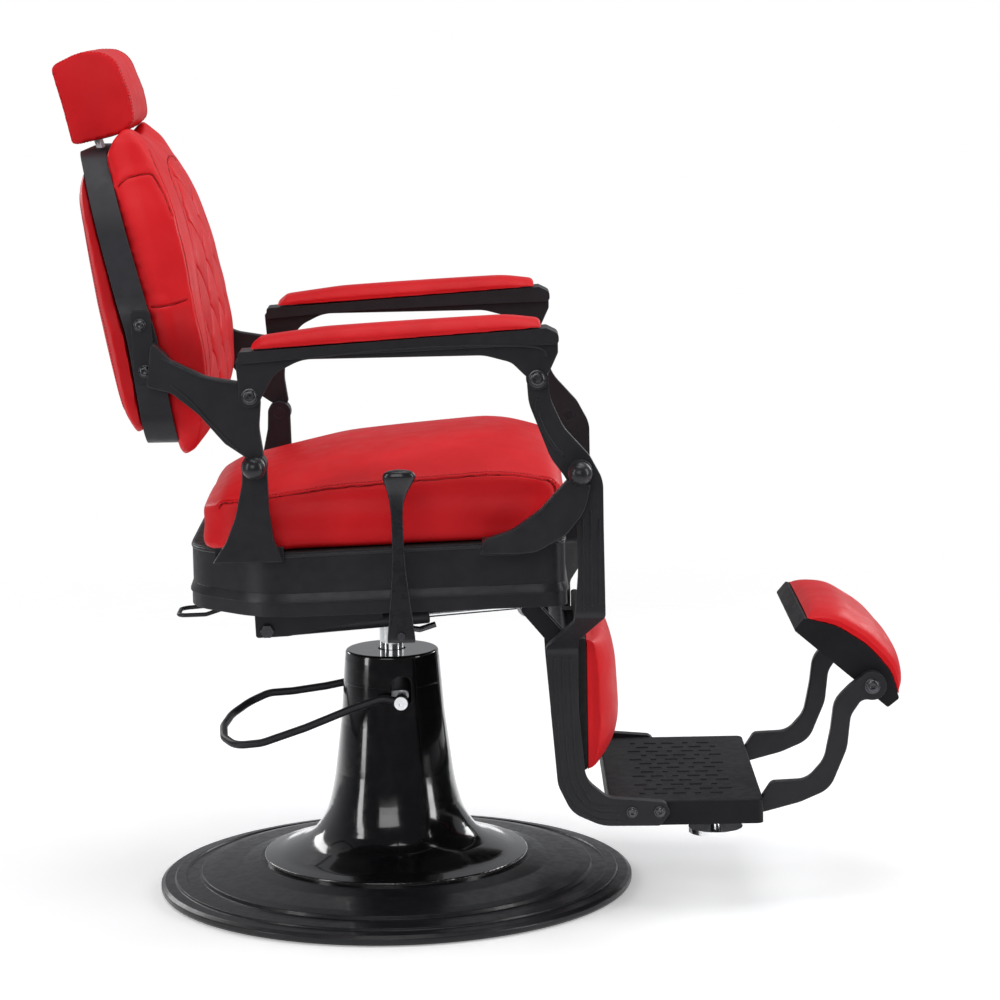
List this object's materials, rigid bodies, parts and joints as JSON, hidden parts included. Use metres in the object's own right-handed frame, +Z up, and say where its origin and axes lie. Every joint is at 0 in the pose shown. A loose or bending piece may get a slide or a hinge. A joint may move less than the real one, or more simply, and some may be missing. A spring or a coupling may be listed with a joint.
{
  "type": "hydraulic barber chair",
  "caption": "Reclining hydraulic barber chair with padded seat, back, headrest and armrests on a pedal-raised column over a round floor disc, with a turn-over footrest.",
  "frame": {"origin": "on the floor under the axis of the lift column, on the underside of the floor disc", "axes": "+X towards the chair's front (footrest), +Y towards the sitter's left, +Z up along the lift"},
  "size_m": [1.1695, 0.68, 1.2014],
  "materials": {
    "base_black": "satin black powder coat",
    "rubber": "matte",
    "gloss_black": "high gloss black",
    "cast_inner": "bare casting",
    "bronze": "machined",
    "steel": "zinc plated",
    "chrome": "polished",
    "sheet_black": "satin black",
    "plywood": "black painted plywood",
    "red_leather": "fine-grained upholstery leatherette over foam",
    "cap_black": "glossy black ball cap",
    "frame_black": "satin black powder coat",
    "cast_black": "fine-textured black powder coat",
    "grip_black": "satin",
    "bolt_black": "black oxide",
    "satin_black_band": "satin black",
    "footplate_black": "textured black powder coat"
  },
  "bodies": {
    "base": {"base_plate": "base_black", "floor_gasket": "rubber", "column_cover_lower": "gloss_black", "column_cover_upper": "gloss_black", "pump_cylinder": "cast_inner", "guide_bush": "bronze"},
    "pump_plunger": {"pump_plunger": "steel"},
    "piston": {"lift_piston": "chrome", "thrust_bearing": "steel"},
    "seat_frame": {"swivel_head": "cast_black", "mounting_bolts": "steel", "seat_box": "sheet_black", "seat_board": "plywood", "seat_cushion": "red_leather", "rear_upright_right": "frame_black", "rear_upright_left": "frame_black", "front_horn_right": "frame_black", "front_horn_left": "frame_black", "rear_pivot_caps": "cap_black", "front_pivot_caps": "cap_black", "under_seat_brackets": "frame_black", "gas_anchor_bolt": "bolt_black", "rear_pull_handle": "frame_black"},
    "pedal": {"foot_pedal": "frame_black", "pedal_yoke": "steel", "pedal_end_bolts": "chrome"},
    "lever": {"recline_lever": "frame_black", "lever_knob": "grip_black", "lever_shaft": "bolt_black"},
    "gas_cylinder": {"gas_spring_cylinder": "frame_black"},
    "gas_rod": {"gas_spring_rod": "chrome"},
    "back": {"back_band": "satin_black_band", "back_board": "plywood", "headrest_socket": "steel", "back_cushion": "red_leather", "rear_shell_cushion": "red_leather", "back_bracket_right": "cast_black", "back_bracket_left": "cast_black", "bracket_bolts": "bolt_black", "armrest_pins": "bolt_black"},
    "headrest": {"headrest_bar": "steel", "headrest_cushion": "red_leather"},
    "armrest_right": {"armrest_frame_right": "frame_black", "armrest_pad_right": "red_leather"},
    "armrest_left": {"armrest_frame_left": "frame_black", "armrest_pad_left": "red_leather"},
    "leg_frame": {"leg_arm_right": "cast_black", "leg_arm_left": "cast_black", "link_pins": "bolt_black", "leg_cross_tube": "frame_black", "calf_board": "plywood", "calf_pad": "red_leather", "footplate": "footplate_black", "footplate_bolts": "bolt_black", "foot_arm_right": "frame_black", "foot_arm_left": "frame_black", "glide_discs": "chrome"},
    "foot_flap": {"flap_tray": "footplate_black", "flap_pad": "red_leather", "flap_hinge_bolts": "bolt_black"}
  },
  "joints": [
    {"name": "lift", "type": "slide", "parent": "base", "child": "piston", "axis": [0, 0, 1], "range_m": [0, 0.15]},
    {"name": "swivel", "type": "hinge", "parent": "piston", "child": "seat_frame", "pos_m": [0, 0, 0.418], "axis": [0, 0, 1], "continuous": true},
    {"name": "pedal", "type": "hinge", "parent": "base", "child": "pedal", "pos_m": [0.014, 0, 0.283], "axis": [0, -1, 0], "range_deg": [0, 22], "stiffness_Nm_per_rad": 8, "springref_deg": -28.65},
    {"name": "plunger", "type": "slide", "parent": "base", "child": "pump_plunger", "axis": [0, 0, -1], "range_m": [0, 0.026]},
    {"name": "recline", "type": "hinge", "parent": "seat_frame", "child": "back", "pos_m": [-0.169, 0, 0.652], "axis": [0, -1, 0], "range_deg": [0, 35]},
    {"name": "leg_lift", "type": "hinge", "parent": "seat_frame", "child": "leg_frame", "pos_m": [0.265, 0, 0.639], "axis": [0, -1, 0], "range_deg": [0, 29]},
    {"name": "armrest_right_pivot", "type": "hinge", "parent": "back", "child": "armrest_right", "pos_m": [-0.171, -0.308, 0.749], "axis": [0, -1, 0], "range_deg": [-39, 0]},
    {"name": "armrest_left_pivot", "type": "hinge", "parent": "back", "child": "armrest_left", "pos_m": [-0.171, 0.308, 0.749], "axis": [0, -1, 0], "range_deg": [-39, 0]},
    {"name": "gas_swing", "type": "hinge", "parent": "seat_frame", "child": "gas_cylinder", "pos_m": [-0.171, -0.08, 0.391], "axis": [0, -1, 0], "range_deg": [-3, 0]},
    {"name": "gas_stroke", "type": "slide", "parent": "gas_cylinder", "child": "gas_rod", "axis": [0.9973, 0, 0.0736], "range_m": [0, 0.114]},
    {"name": "headrest_height", "type": "slide", "parent": "back", "child": "headrest", "axis": [-0.284, 0, 0.9588], "range_m": [0, 0.1]},
    {"name": "foot_flap_turn", "type": "hinge", "parent": "leg_frame", "child": "foot_flap", "pos_m": [0.671, 0, 0.31], "axis": [0, 1, 0], "range_deg": [0, 108]},
    {"name": "recline_lever_pull", "type": "hinge", "parent": "seat_frame", "child": "lever", "pos_m": [0.023, -0.325, 0.425], "axis": [0, -1, 0], "range_deg": [0, 20], "stiffness_Nm_per_rad": 5, "springref_deg": -20.05}
  ],
  "couplings": [
    {"joint": "plunger", "follows": "pedal", "m_per_rad": 0.062},
    {"joint": "leg_lift", "follows": "recline", "ratio": 0.8175},
    {"joint": "armrest_right_pivot", "follows": "recline", "ratio": -1.1025},
    {"joint": "armrest_left_pivot", "follows": "recline", "ratio": -1.1025},
    {"joint": "gas_swing", "follows": "recline", "ratio": -0.07},
    {"joint": "gas_stroke", "follows": "recline", "m_per_rad": 0.1845}
  ]
}
